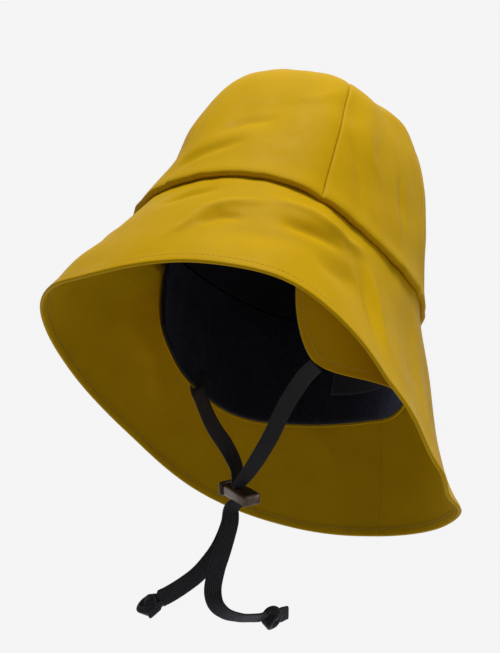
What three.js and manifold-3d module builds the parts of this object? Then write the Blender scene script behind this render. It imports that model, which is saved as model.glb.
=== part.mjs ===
// Sou'wester hat with ear-and-neck flap, elastic chin ties and a cord lock.
// Millimetres. +Z is up as the hat is worn, the brim's front looks to -Y and +X is the wearer's left.
// The origin is the middle of the head opening, in the plane of the crown's lower edge.
// Angles round the hat are degrees from the front, growing towards the wearer's left.
import * as THREE from "three";
import { mergeVertices } from "three/addons/utils/BufferGeometryUtils.js";
import Module from "manifold-3d";

const wasm = await Module();
wasm.setup();

// Crown: half widths of its lower edge, its height and the cloth of its gores.
const crownHalfWidth = 93;
const crownHalfLength = 105.5;
const crownHeight = 147;
const crownShiftBack = 8;
const goreCount = 6;
const shellThickness = 1.4;
const rollBulge = 1.8;
const rollHeight = 9;
const domeRound = 3.3;
const domeRise = 3;
const domeTaper = 0.1;
const domeEnd = 0.9993;
const baseWave = 8;
const goreHollow = 4.5;
const goreHollowRise = 3;
const dentFadeLow = 0.136;
const dentFadeTop = 0.01;
const rowPower = 1.35;

// Brim: slant length at the back, the collar tucked up inside the crown, and the hem.
const brimLength = 134;
const brimSetIn = 3;
const collarHeight = 9;
const hemWidth = 6;
const hemThickness = 2.4;
const foldDepth = 4;

// Ear-and-neck flap, its fleece, the crown's lining and the inside label.
const flapDepth = 79;
const flapPull = 28;
const flapFrontLeft = 60;
const flapFrontRight = 67.5;
const flapCornerAngle = 24;
const flapThickness = 1;
const fleeceThickness = 2;
const fleeceMargin = 2.5;
const liningThickness = 1.2;
const labelWidth = 60;
const labelHeight = 30;
const labelDrop = 10;
const labelThickness = 0.6;

// Flat elastic ties and their knots.
const tieWidth = 10;
const tieThickness = 1.2;
const tieSpread = 0.8;
const tieSpacing = 4.4;
const stripSides = 8;
const stripInset = 0.46;
const stripEdge = 0.3;
const knotLength = 14;
const knotHeight = 13;
const knotDepth = 11;
const stubLengthLeft = 8;
const stubLengthRight = 3;
const stubWidth = 9;
const stubThickness = 2.6;
const stubCorner = 1;

// Cord lock: an oval body with a slot for both ties and a sprung button at one end.
const lockLength = 26;
const lockWidth = 11.6;
const lockHeight = 6.8;
const lockCorner = 2.6;
const slotFromEnd = 8.5;
const slotLength = 4.8;
const slotWidth = 8.2;
const slotCorner = 0.8;
const stemWidth = 9.8;
const stemHeight = 3.6;
const stemCorner = 1.4;
const stemReach = 19;
const buttonTravel = 3;
const buttonStop = 0.4;
const buttonThickness = 1.8;
const buttonOverhang = 0.9;

// Clearances between neighbouring pieces.
const seamGap = 0.3;
const layerGap = 0.3;
const slideGap = 0.25;

// Steps of the surfaces: every layer shares them, so that the layers nest.
const columnStep = 7.5;
const crownRows = 9;
const brimRows = 8;
const flapRows = 6;

// Crown's lower edge: how far it stands out and rises, as shares of baseWave.
const baseTable = [
  { angle: 0, out: 0.3, rise: 0.3 },
  { angle: 45, out: -0.1, rise: 1.0 },
  { angle: 90, out: -0.7, rise: -0.45 },
  { angle: 135, out: -0.4, rise: -0.5 },
  { angle: 180, out: 0.1, rise: -0.2 },
  { angle: 225, out: 0.25, rise: -0.25 },
  { angle: 270, out: 0.25, rise: 0 },
  { angle: 315, out: 0.35, rise: 0.05 },
];

// Brim: slant length as a share of brimLength, slope out from straight down and its curl, in degrees.
const brimTable = [
  { angle: 0, reach: 0.646, slope: 21.3, curl: 8.5 },
  { angle: 30, reach: 0.642, slope: 21.5, curl: 8 },
  { angle: 60, reach: 0.66, slope: 23, curl: 4.5 },
  { angle: 90, reach: 0.811, slope: 19, curl: -10 },
  { angle: 120, reach: 0.975, slope: 15.5, curl: -22 },
  { angle: 150, reach: 1, slope: 19.5, curl: -8 },
  { angle: 180, reach: 1.005, slope: 16.1, curl: 12 },
  { angle: 210, reach: 0.995, slope: 19.4, curl: 9 },
  { angle: 240, reach: 0.932, slope: 20.2, curl: 4.5 },
  { angle: 270, reach: 0.785, slope: 22, curl: 4 },
  { angle: 300, reach: 0.684, slope: 24, curl: 2 },
  { angle: 330, reach: 0.64, slope: 28, curl: 3 },
];

// Soft folds of the brim: middle, half sizes in degrees and shares of the slant, depth of foldDepth.
const brimFolds = [
  { angle: 42, along: 0.55, halfAngle: 13, halfAlong: 0.22, depth: -0.8 },
  { angle: 62, along: 0.3, halfAngle: 8, halfAlong: 0.2, depth: 0.7 },
  { angle: 75, along: 0.62, halfAngle: 9, halfAlong: 0.2, depth: -0.7 },
  { angle: 118, along: 0.6, halfAngle: 7, halfAlong: 0.6, depth: 0.9 },
  { angle: 137, along: 0.34, halfAngle: 14, halfAlong: 0.3, depth: 0.95 },
  { angle: 140, along: 1, halfAngle: 9, halfAlong: 0.12, depth: 0.9 },
  { angle: 205, along: 0.7, halfAngle: 12, halfAlong: 0.35, depth: -0.6 },
  { angle: 250, along: 0.7, halfAngle: 10, halfAlong: 0.4, depth: 0.6 },
  { angle: 330, along: 0.5, halfAngle: 14, halfAlong: 0.4, depth: -0.5 },
  { angle: 344, along: 0.74, halfAngle: 12, halfAlong: 0.2, depth: 0.5 },
];

// Dents of the crown, placed the same way over its height share.
const crownDents = [
  { angle: 25, along: 0.45, halfAngle: 16, halfAlong: 0.16, depth: -0.9 },
  { angle: 64, along: 0.6, halfAngle: 7, halfAlong: 0.14, depth: -0.7 },
  { angle: 56, along: 0.92, halfAngle: 24, halfAlong: 0.12, depth: -0.65 },
  { angle: 104, along: 0.9, halfAngle: 16, halfAlong: 0.1, depth: 1 },
  { angle: 125, along: 0.38, halfAngle: 20, halfAlong: 0.3, depth: -0.45 },
  { angle: 108, along: 0.4, halfAngle: 9, halfAlong: 0.25, depth: -0.5 },
  { angle: 200, along: 0.5, halfAngle: 18, halfAlong: 0.2, depth: -0.7 },
  { angle: 342, along: 0.24, halfAngle: 14, halfAlong: 0.13, depth: -1.25 },
  { angle: 357, along: 0.74, halfAngle: 22, halfAlong: 0.13, depth: 0.5 },
];

// Flap: depth below the crown's edge and inward pull at the bottom, as shares of flapDepth and flapPull.
const flapTable = [
  { angle: 60, depth: 0.97, pull: 0.9 },
  { angle: 90, depth: 0.965, pull: 0.85 },
  { angle: 120, depth: 0.88, pull: -0.12 },
  { angle: 150, depth: 0.85, pull: 0 },
  { angle: 180, depth: 0.79, pull: 0 },
  { angle: 210, depth: 0.82, pull: 0 },
  { angle: 240, depth: 0.9, pull: 0.15 },
  { angle: 270, depth: 0.88, pull: 0.85 },
  { angle: 300, depth: 0.82, pull: 1.05 },
];

// Cord lock: the middle of its slot, its long axis and the way the ties run down through it.
const lockMiddle = new THREE.Vector3(4.4, 3.1, -151);
const lockAxis = new THREE.Vector3(0.922, -0.12, -0.368).normalize();
const lockDown = new THREE.Vector3(-0.236, 0.576, -0.782);
lockDown.addScaledVector(lockAxis, -lockDown.dot(lockAxis)).normalize();
const lockSide = new THREE.Vector3().crossVectors(lockAxis, lockDown);
const tieStack = (tieThickness + tieSpread) / 2;

// The ties' flat faces look this way, and turn is the twist from it in degrees.
const tieFacing = new THREE.Vector3(0.67, -0.56, -0.49).normalize();
const inLock = (down, along) => lockMiddle.clone()
  .addScaledVector(lockDown, down).addScaledVector(lockAxis, along);

const colours = {
  cloth: { color: 0xc99a06, roughness: 0.5, metalness: 0 },
  fleece: { color: 0x101014, roughness: 0.95, metalness: 0 },
  label: { color: 0x3a3a40, roughness: 0.8, metalness: 0 },
  elastic: { color: 0x1c1c22, roughness: 0.85, metalness: 0 },
  lock: { color: 0x4a3a26, roughness: 0.4, metalness: 0 },
};

const part = new THREE.Group();

function add(name, geometry, look) {
  const mesh = new THREE.Mesh(geometry, new THREE.MeshStandardMaterial(look));
  mesh.name = name;
  part.add(mesh);
  return mesh;
}

// A column of a table at an angle: a smooth curve through evenly spaced rows, closed round the hat.
function around(table, column, angle) {
  const step = table[1].angle - table[0].angle;
  const place = (angle - table[0].angle) / step;
  const row = Math.floor(place);
  const share = place - row;
  const whole = Math.abs(table.length * step - 360) < 1e-6;
  const at = (i) => {
    const index = whole ? ((i % table.length) + table.length) % table.length
      : Math.min(Math.max(i, 0), table.length - 1);
    return table[index][column];
  };
  const [before, here, next, after] = [at(row - 1), at(row), at(row + 1), at(row + 2)];
  const slopeHere = (next - before) / 2;
  const slopeNext = (after - here) / 2;
  const square = share * share;
  const cube = square * share;
  return here * (2 * cube - 3 * square + 1) + slopeHere * (cube - 2 * square + share)
    + next * (3 * square - 2 * cube) + slopeNext * (cube - square);
}

function radians(degrees) {
  return THREE.MathUtils.degToRad(degrees);
}

// The sum of the table's soft bumps at one place.
function folds(table, angle, along) {
  let sum = 0;
  for (const fold of table) {
    const turn = ((angle - fold.angle + 540) % 360) - 180;
    const far = (turn / fold.halfAngle) ** 2 + ((along - fold.along) / fold.halfAlong) ** 2;
    sum += fold.depth * Math.exp(-far);
  }
  return sum * foldDepth;
}

// Direction away from the head in the crown's base plane.
function outward(angle) {
  const turn = radians(angle);
  return new THREE.Vector3(Math.sin(turn) / crownHalfWidth, -Math.cos(turn) / crownHalfLength, 0)
    .normalize();
}

// A point of the crown's lower edge, moved out by an offset and up by a height.
function ringPoint(angle, offset, height) {
  const turn = radians(angle);
  const out = baseWave * around(baseTable, "out", angle);
  const rise = baseWave * around(baseTable, "rise", angle);
  const point = new THREE.Vector3((crownHalfWidth + out) * Math.sin(turn),
    -(crownHalfLength + out) * Math.cos(turn), rise + height);
  return point.addScaledVector(outward(angle), offset);
}

// The middle of the crown's cloth: a boxy dome that leans back, from the lower edge at 0 to the top at 1.
function domePoint(angle, share, hollow) {
  const turn = share * Math.PI / 2;
  const width = Math.cos(turn) ** (2 / domeRound);
  const height = Math.sin(turn) ** (2 / domeRise);
  const ring = ringPoint(angle, 0, 0);
  const belly = (1 - Math.cos(radians(angle * goreCount))) / 2;
  const scale = width * (1 - domeTaper * height);
  const point = new THREE.Vector3(ring.x * scale, ring.y * scale + crownShiftBack * height,
    ring.z * (1 - share) + crownHeight * height);
  const lobe = hollow * belly * Math.min(1, height * goreHollowRise) * width;
  return point.addScaledVector(outward(angle), -lobe);
}

function domeNormal(angle, share) {
  const step = 0.002;
  const low = domePoint(angle, Math.max(share - step, 0), 0);
  const high = domePoint(angle, Math.min(share + step, 1 - 1e-5), 0);
  const left = domePoint(angle - 0.5, share, 0);
  const right = domePoint(angle + 0.5, share, 0);
  return new THREE.Vector3().crossVectors(right.sub(left), high.sub(low)).normalize();
}

// Row shares of the dome: up the collar first, then closer together where the dome rises steeply.
function shareAtHeight(height) {
  return Math.asin((height / crownHeight) ** (domeRise / 2)) * 2 / Math.PI;
}

const liningStart = collarHeight + layerGap;
const domeShares = [0, collarHeight, liningStart].map(shareAtHeight);
const lowShare = domeShares[domeShares.length - 1];
for (let row = 1; row <= crownRows; row++) {
  domeShares.push(lowShare + (domeEnd - lowShare) * (row / crownRows) ** rowPower);
}
const liningRow = 2;

function crownPoint(angle, share, offset) {
  const point = domePoint(angle, share, goreHollow);
  const height = point.z - ringPoint(angle, 0, 0).z;
  const roll = rollBulge * Math.exp(-((height / rollHeight) ** 2));
  const rise = height / crownHeight;
  const fade = Math.min(1, rise / dentFadeLow, Math.max(0, 1 - rise) / dentFadeTop);
  const dent = folds(crownDents, angle, rise) * fade;
  point.addScaledVector(outward(angle), roll);
  return point.addScaledVector(domeNormal(angle, share), offset + dent);
}

// A closed sheet from two grids of points, rows by columns. outer faces out, inner faces the head.
function sheet(outer, inner, closed) {
  const rows = outer.length;
  const columns = outer[0].length;
  const positions = [];
  for (const grid of [outer, inner]) {
    for (const row of grid) {
      for (const point of row) positions.push(point.x, point.y, point.z);
    }
  }
  const index = [];
  const at = (side, row, column) => side * rows * columns + row * columns + (column % columns);
  const quad = (a, b, c, d) => index.push(a, b, c, a, c, d);
  const last = closed ? columns : columns - 1;
  for (let column = 0; column < last; column++) {
    for (let row = 0; row < rows - 1; row++) {
      quad(at(0, row, column), at(0, row, column + 1), at(0, row + 1, column + 1),
        at(0, row + 1, column));
      quad(at(1, row, column), at(1, row + 1, column), at(1, row + 1, column + 1),
        at(1, row, column + 1));
    }
    quad(at(0, 0, column + 1), at(0, 0, column), at(1, 0, column), at(1, 0, column + 1));
    quad(at(0, rows - 1, column), at(0, rows - 1, column + 1), at(1, rows - 1, column + 1),
      at(1, rows - 1, column));
  }
  if (!closed) {
    for (let row = 0; row < rows - 1; row++) {
      quad(at(0, row, 0), at(0, row + 1, 0), at(1, row + 1, 0), at(1, row, 0));
      quad(at(0, row + 1, columns - 1), at(0, row, columns - 1), at(1, row, columns - 1),
        at(1, row + 1, columns - 1));
    }
  }
  const geometry = new THREE.BufferGeometry();
  geometry.setAttribute("position", new THREE.Float32BufferAttribute(positions, 3));
  geometry.setIndex(index);
  geometry.computeVertexNormals();
  return geometry;
}

function span(from, to, step) {
  const count = Math.round((to - from) / step);
  return Array.from({ length: count + 1 }, (_, i) => from + (to - from) * i / count);
}

// One gore of the crown between two seams, with half the seam's gap left at each side.
function gore(middle) {
  const half = 180 / goreCount;
  const angles = span(middle - half, middle + half, columnStep);
  const grids = [shellThickness / 2, -shellThickness / 2].map((offset) => {
    return domeShares.map((share) => angles.map((angle) => crownPoint(angle, share, offset)));
  });
  for (const grid of grids) {
    for (const row of grid) {
      const last = row.length - 1;
      const first = row[1].clone().sub(row[0]).normalize().multiplyScalar(seamGap / 2);
      const end = row[last - 1].clone().sub(row[last]).normalize().multiplyScalar(seamGap / 2);
      row[0].add(first);
      row[last].add(end);
    }
  }
  return sheet(grids[0], grids[1], false);
}

const goreNames = ["front_left", "left", "back_left", "back_right", "right", "front_right"];
goreNames.forEach((name, i) => {
  add(`crown_gore_${name}`, gore((i + 0.5) * 360 / goreCount), colours.cloth);
});

// Brim: a collar tucked inside the crown's edge, then the slant down to a doubled hem.
function brimSection(angle) {
  const length = brimLength * around(brimTable, "reach", angle);
  const slope = around(brimTable, "slope", angle);
  const curl = around(brimTable, "curl", angle);
  const rows = [{ offset: -brimSetIn, height: 0, tilt: slope / 2, thick: shellThickness }];
  const stations = [];
  for (let row = 1; row <= brimRows; row++) stations.push((length - hemWidth) * row / brimRows);
  stations.push(length - hemWidth + hemThickness / 2, length);
  let out = -brimSetIn;
  let down = 0;
  let from = 0;
  for (const [i, to] of stations.entries()) {
    const tilt = slope + curl * (0.5 - (from + to) / 2 / length);
    out += (to - from) * Math.sin(radians(tilt));
    down += (to - from) * Math.cos(radians(tilt));
    from = to;
    const thick = i < brimRows ? shellThickness : hemThickness;
    rows.push({ offset: out, height: -down, tilt, thick, fold: folds(brimFolds, angle, to / length) });
  }
  return rows;
}

function brim() {
  const angles = span(0, 360 - columnStep, columnStep);
  const sections = angles.map((angle) => brimSection(angle));
  const collarOffset = -shellThickness - layerGap;
  const grids = [0.5, -0.5].map((side) => {
    const collar = angles.map((angle) =>
      crownPoint(angle, shareAtHeight(collarHeight), collarOffset + shellThickness * side));
    const slant = sections[0].map((_, row) => angles.map((angle, i) => {
      const place = sections[i][row];
      const point = ringPoint(angle, place.offset, place.height);
      const move = place.thick * side + (place.fold ?? 0);
      point.addScaledVector(outward(angle), move * Math.cos(radians(place.tilt)));
      point.z += move * Math.sin(radians(place.tilt));
      return point;
    }));
    return [collar, ...slant].reverse();
  });
  return sheet(grids[0], grids[1], true);
}

add("brim", brim(), colours.cloth);

// A point of the flap: down from the collar, pulled in towards the chin near the ties.
const flapSeat = -1.5 * shellThickness - 2 * layerGap;
const flapHang = -brimSetIn - shellThickness / 2 - layerGap;

function flapReach(angle) {
  const fromFront = Math.min(angle - flapFrontLeft, 360 - flapFrontRight - angle);
  const share = THREE.MathUtils.clamp(fromFront / flapCornerAngle, 0, 1);
  const corner = 0.5 + 0.5 * Math.sqrt(1 - (1 - share) ** 2);
  return flapDepth * around(flapTable, "depth", angle) * corner;
}

function flapHanging(angle, depth, offset) {
  const pull = flapPull * around(flapTable, "pull", angle) * (depth / flapDepth) ** 1.4;
  return ringPoint(angle, flapHang + offset - pull, -depth);
}

function flap(offset, thickness, margin) {
  const angles = span(flapFrontLeft, 360 - flapFrontRight, columnStep);
  const grids = [0.5, -0.5].map((side) => {
    const grid = [];
    for (let row = flapRows; row >= 0; row--) {
      grid.push(angles.map((angle) =>
        flapHanging(angle, Math.min(flapReach(angle) * row / flapRows, flapReach(angle) - margin),
          offset + thickness * side)));
    }
    grid.push(angles.map((angle) =>
      crownPoint(angle, shareAtHeight(collarHeight), flapSeat + offset + thickness * side)));
    return grid;
  });
  return sheet(grids[0], grids[1], false);
}

const shellOffset = -flapThickness / 2;
add("flap_shell", flap(shellOffset, flapThickness, 0), colours.cloth);

const fleeceOffset = -flapThickness - layerGap - fleeceThickness / 2;
add("flap_fleece", flap(fleeceOffset, fleeceThickness, fleeceMargin), colours.fleece);

// Crown lining: the same dome as the gores, inside them and above the collar.
function crownLining() {
  const angles = span(0, 360 - columnStep, columnStep);
  const depth = -shellThickness / 2 - layerGap - liningThickness / 2;
  const grids = [0.5, -0.5].map((side) => {
    return domeShares.slice(liningRow).map((share) => angles.map((angle) =>
      crownPoint(angle, share, depth + liningThickness * side)));
  });
  return sheet(grids[0], grids[1], true);
}

add("crown_lining", crownLining(), colours.fleece);

// Plain inside label on the fleece at the back of the neck.
function label() {
  const half = labelWidth / 2 / crownHalfWidth * 180 / Math.PI;
  const angles = span(180 - half, 180 + half, columnStep);
  const offset = fleeceOffset - fleeceThickness / 2 - 2 * layerGap - labelThickness / 2;
  const grids = [0.5, -0.5].map((side) => [1, 0].map((row) => angles.map((angle) =>
    flapHanging(angle, labelDrop + labelHeight * row, offset + labelThickness * side))));
  return sheet(grids[0], grids[1], false);
}

add("label", label(), colours.label);

// Tie routes: points chosen by eye from the photo, from the flap's corner through the lock to the knot.
const flatWide = new THREE.Vector3().crossVectors(lockDown, tieFacing).normalize();
const lockTwist = new THREE.Vector3().crossVectors(flatWide, lockSide).dot(lockDown);
const lockTurn = THREE.MathUtils.radToDeg(Math.atan(lockTwist / flatWide.dot(lockSide)));
const spot = (x, y, z, turn, width) => ({ point: new THREE.Vector3(x, y, z), turn, width });
const inSlot = (down, along, turn, width) => ({ point: inLock(down, along), turn: lockTurn + turn, width });
const tieRoutes = {
  tie_left: [
    spot(58.2, -7.9, -80.3, 0, 1),
    spot(51.2, -7.6, -85.4, 0, 1),
    spot(39.6, -5.9, -99.3, 0, 1),
    spot(33.4, -4.2, -108.8, 0, 1),
    spot(26.9, -2.2, -120.1, -2, 1),
    spot(20, -1.4, -131.7, -6, 0.96),
    spot(14.3, -1, -140, -14, 0.88),
    spot(10.6, -0.6, -144.4, -22, 0.8),
    inSlot(-4.4, tieStack, 0, 0.74),
    inSlot(4.4, tieStack, 0, 0.74),
    spot(0.6, 4.6, -160.2, -18, 0.95),
    spot(1.5, 5.1, -168.9, -6, 1),
    spot(1, 5, -185, 0, 1),
    spot(-0.6, 5.2, -196.6, 0, 1),
    spot(-1.3, 6.9, -208.2, 0, 1),
    spot(0.3, 10.2, -214.7, 15, 1),
    spot(2.6, 16.2, -217.8, 30, 1),
    spot(4.6, 26.1, -217.4, 38, 1),
    spot(5.3, 37.1, -214.4, 38, 1),
    spot(5.6, 42.2, -212.6, 35, 1),
  ],
  tie_right: [
    spot(-70.8, 8.7, -69.8, 0, 1),
    spot(-57.8, 5.6, -82.2, 0, 1),
    spot(-41, 1.5, -97.7, 0, 1),
    spot(-29, 0.4, -108.6, 1, 1),
    spot(-16, 0.4, -119.5, -4, 0.98),
    spot(-4.6, 0, -130.1, -12, 0.9),
    spot(2.4, -0.6, -138.2, -22, 0.8),
    inSlot(-4.4, -tieStack, 0, 0.74),
    inSlot(4.4, -tieStack, 0, 0.74),
    spot(-2, 6.2, -159.5, -18, 0.95),
    spot(-3.1, 8.3, -167.6, -6, 1),
    spot(-7.2, 9, -181.2, 0, 1),
    spot(-10.6, 6.6, -191.4, 0, 1),
    spot(-14.8, 3.7, -200, 0, 1),
    spot(-19.4, -0.2, -207, 0, 1),
    spot(-24.4, -4.7, -213.6, 0, 1),
    spot(-27.2, -8.1, -217.3, 0, 1),
  ],
};

// A flat strip with rounded edges along a route, its width square to the route and the facing.
// turn twists it and width gathers it, as a share of the whole width.
function strip(route, width, thickness) {
  const curve = new THREE.CatmullRomCurve3(route.map((row) => row.point), false, "centripetal");
  const steps = Math.round(curve.getLength() / tieSpacing);
  const rings = [];
  const middles = [];
  for (let step = 0; step <= steps; step++) {
    const share = curve.getUtoTmapping(step / steps);
    const centre = curve.getPoint(share);
    const along = curve.getTangent(share).normalize();
    const row = Math.min(Math.floor(share * (route.length - 1)), route.length - 2);
    const past = share * (route.length - 1) - row;
    const turn = radians(THREE.MathUtils.lerp(route[row].turn, route[row + 1].turn, past));
    const gathered = width * THREE.MathUtils.lerp(route[row].width, route[row + 1].width, past);
    const wide = new THREE.Vector3().crossVectors(along, tieFacing).normalize()
      .applyAxisAngle(along, turn);
    const thin = new THREE.Vector3().crossVectors(wide, along).normalize();
    const ring = [];
    for (let side = 0; side < stripSides; side++) {
      const spin = (side + 0.5) / stripSides * 2 * Math.PI;
      const [cos, sin] = [Math.cos(spin), Math.sin(spin)];
      const flat = Math.sign(cos) * (Math.abs(cos) > Math.abs(sin) ? 0.5 : stripInset);
      const lift = Math.sign(sin) * (Math.abs(sin) > Math.abs(cos) ? 0.5 : stripEdge);
      ring.push(centre.clone().addScaledVector(wide, gathered * flat)
        .addScaledVector(thin, thickness * lift));
    }
    rings.push(ring);
    middles.push(centre);
  }
  return closedTube(rings, middles[0], middles[steps]);
}

// A tube through rings of points, closed at both ends by a fan.
function closedTube(rings, start, end) {
  const sides = rings[0].length;
  const positions = [];
  for (const ring of rings) {
    for (const point of ring) positions.push(point.x, point.y, point.z);
  }
  positions.push(start.x, start.y, start.z, end.x, end.y, end.z);
  const first = rings.length * sides;
  const index = [];
  for (let ring = 0; ring < rings.length - 1; ring++) {
    for (let side = 0; side < sides; side++) {
      const a = ring * sides + side;
      const b = ring * sides + (side + 1) % sides;
      index.push(a, b + sides, b, a, a + sides, b + sides);
    }
  }
  const top = (rings.length - 1) * sides;
  for (let side = 0; side < sides; side++) {
    const next = (side + 1) % sides;
    index.push(first, side, next);
    index.push(first + 1, top + next, top + side);
  }
  const geometry = new THREE.BufferGeometry();
  geometry.setAttribute("position", new THREE.Float32BufferAttribute(positions, 3));
  geometry.setIndex(index);
  geometry.computeVertexNormals();
  return geometry;
}

for (const [name, route] of Object.entries(tieRoutes)) {
  add(name, strip(route, tieWidth, tieThickness), colours.elastic);
}

function toSolid(geometry) {
  const bare = geometry.clone();
  bare.deleteAttribute("normal");
  bare.deleteAttribute("uv");
  const merged = mergeVertices(bare, 1e-4);
  const mesh = new wasm.Mesh({ numProp: 3, vertProperties: merged.attributes.position.array,
    triVerts: Uint32Array.from(merged.index.array) });
  return new wasm.Manifold(mesh);
}

function toGeometry(solid) {
  const mesh = solid.getMesh();
  const geometry = new THREE.BufferGeometry();
  geometry.setAttribute("position", new THREE.BufferAttribute(Float32Array.from(mesh.vertProperties), 3));
  geometry.setIndex(Array.from(mesh.triVerts));
  geometry.computeVertexNormals();
  return geometry;
}

// A bar of rounded-rectangle section along X, from one place to another.
function roundedBar(from, to, width, height, corner) {
  const shape = new THREE.Shape();
  const [w, h] = [width / 2, height / 2];
  shape.moveTo(-w + corner, -h);
  shape.lineTo(w - corner, -h);
  shape.absarc(w - corner, -h + corner, corner, -Math.PI / 2, 0);
  shape.lineTo(w, h - corner);
  shape.absarc(w - corner, h - corner, corner, 0, Math.PI / 2);
  shape.lineTo(-w + corner, h);
  shape.absarc(-w + corner, h - corner, corner, Math.PI / 2, Math.PI);
  shape.lineTo(-w, -h + corner);
  shape.absarc(-w + corner, -h + corner, corner, Math.PI, Math.PI * 1.5);
  const bar = new THREE.ExtrudeGeometry(shape, { depth: to - from, bevelEnabled: false, curveSegments: 3 });
  bar.applyMatrix4(new THREE.Matrix4().makeBasis(new THREE.Vector3(0, 1, 0), new THREE.Vector3(0, 0, 1),
    new THREE.Vector3(1, 0, 0)));
  bar.translate(from, 0, 0);
  return bar;
}

// Local frame of the cord lock: X along the body, Z up against the ties' way down.
const lockFrame = new THREE.Matrix4().makeBasis(lockAxis, lockSide, lockDown.clone().negate());
lockFrame.setPosition(lockMiddle);

// X is 0 at the middle of the slot.
const lockStart = -slotFromEnd;
const lockEnd = lockLength - slotFromEnd;

function lockSlot(length, width, shift) {
  const slot = roundedBar(-lockWidth, lockWidth, length, width, slotCorner);
  slot.applyMatrix4(new THREE.Matrix4().makeBasis(new THREE.Vector3(0, 0, 1), new THREE.Vector3(1, 0, 0),
    new THREE.Vector3(0, 1, 0)));
  slot.translate(shift, 0, 0);
  return toSolid(slot);
}

function lockBody() {
  const body = toSolid(roundedBar(lockStart, lockEnd, lockWidth, lockHeight, lockCorner));
  const boreEnd = lockStart + stemReach + buttonTravel;
  const bore = toSolid(roundedBar(lockStart - 1, boreEnd, stemWidth + 2 * slideGap,
    stemHeight + 2 * slideGap, stemCorner + slideGap));
  const solid = body.subtract(bore).subtract(lockSlot(slotLength, slotWidth, 0));
  return toGeometry(solid);
}

function lockButton() {
  const headEnd = lockStart - buttonTravel - buttonStop;
  const head = toSolid(roundedBar(headEnd - buttonThickness, headEnd, lockWidth + 2 * buttonOverhang,
    lockHeight + 2 * buttonOverhang, lockCorner + buttonOverhang));
  const stem = toSolid(roundedBar(headEnd - buttonThickness / 2, lockStart + stemReach - buttonStop,
    stemWidth, stemHeight, stemCorner));
  const opening = lockSlot(slotLength + buttonTravel, slotWidth, -buttonTravel / 2);
  return toGeometry(head.add(stem.subtract(opening)));
}

function placed(geometry) {
  geometry.applyMatrix4(lockFrame);
  geometry.computeVertexNormals();
  return geometry;
}

add("lock_body", placed(lockBody()), colours.lock);
add("lock_button", placed(lockButton()), colours.lock);

// A knot: a lumpy ball at the tie's end, with the strip's cut end sticking out.
const knotPlaces = {
  knot_left: { end: new THREE.Vector3(5.6, 42.2, -212.6), along: new THREE.Vector3(0, 0.96, 0.25),
    stub: new THREE.Vector3(-0.2, 0.9, 0.4), reach: stubLengthLeft },
  knot_right: { end: new THREE.Vector3(-27.2, -8.1, -217.3), along: new THREE.Vector3(-0.45, -0.5, -0.74),
    stub: new THREE.Vector3(0.9, -0.2, -0.4), reach: stubLengthRight },
};

function knot({ end, along, stub, reach }) {
  const way = along.clone().normalize();
  const ball = new THREE.SphereGeometry(0.5, 12, 7);
  ball.scale(knotDepth, knotLength, knotHeight);
  const turn = new THREE.Quaternion().setFromUnitVectors(new THREE.Vector3(0, 1, 0), way);
  ball.applyQuaternion(turn);
  const middle = end.clone().addScaledVector(way, knotLength / 2 + layerGap);
  ball.translate(middle.x, middle.y, middle.z);
  const tail = roundedBar(0, knotLength / 2 + reach, stubWidth, stubThickness, stubCorner);
  const out = stub.clone().normalize();
  tail.applyQuaternion(new THREE.Quaternion().setFromUnitVectors(new THREE.Vector3(1, 0, 0), out));
  tail.translate(middle.x, middle.y, middle.z);
  return toGeometry(toSolid(ball).add(toSolid(tail)));
}

for (const [name, knotPlace] of Object.entries(knotPlaces)) {
  add(name, knot(knotPlace), colours.elastic);
}

export default part;
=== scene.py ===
import math

import bpy
import numpy as np
from mathutils import Matrix, Vector


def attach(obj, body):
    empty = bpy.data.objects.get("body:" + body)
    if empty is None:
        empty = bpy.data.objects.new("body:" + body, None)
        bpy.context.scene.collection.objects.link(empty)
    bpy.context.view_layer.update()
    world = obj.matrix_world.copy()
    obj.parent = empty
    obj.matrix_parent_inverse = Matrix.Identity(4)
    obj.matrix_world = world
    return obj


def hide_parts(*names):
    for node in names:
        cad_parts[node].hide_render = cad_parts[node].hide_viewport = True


# Sou'wester hat with its flap down and its chin ties drawn through a cord lock.
# Shapes are worked out in millimetres, in the frame of the CAD model, and put in as metres.
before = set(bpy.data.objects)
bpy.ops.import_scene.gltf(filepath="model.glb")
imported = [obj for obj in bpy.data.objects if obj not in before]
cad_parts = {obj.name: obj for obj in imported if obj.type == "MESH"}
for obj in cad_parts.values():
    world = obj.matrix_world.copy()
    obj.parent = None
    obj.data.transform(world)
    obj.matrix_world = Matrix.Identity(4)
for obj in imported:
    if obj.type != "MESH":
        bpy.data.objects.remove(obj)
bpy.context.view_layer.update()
mm = 0.001
hatBody, buttonBody = "hat", "lock_button"

print("camera")
camera = {"azimuth": 50, "elevation": -29, "roll": 14, "distance": 640, "focalPixels": 950,
          "shiftRight": 33.3, "shiftUp": 50.3, "imageHeight": 653, "sensor": 36}


def unit(vector):
    # The vector over its length.
    vector = np.asarray(vector, dtype=float)
    return vector / np.linalg.norm(vector, axis=-1, keepdims=True)


def bell(distance, width, power=2):
    # exp(-(distance / width) ** power): 1 at the middle, dying away on both sides.
    return np.exp(-(distance / width) ** power)


def quarterRound(share):
    # Height of a quarter circle over its foot: sqrt(1 - (1 - share) ** 2).
    return np.sqrt(1 - (1 - share) ** 2)


def addObject(name, data):
    # A new object in the scene.
    made = bpy.data.objects.new(name, data)
    bpy.context.scene.collection.objects.link(made)
    return made


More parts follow.
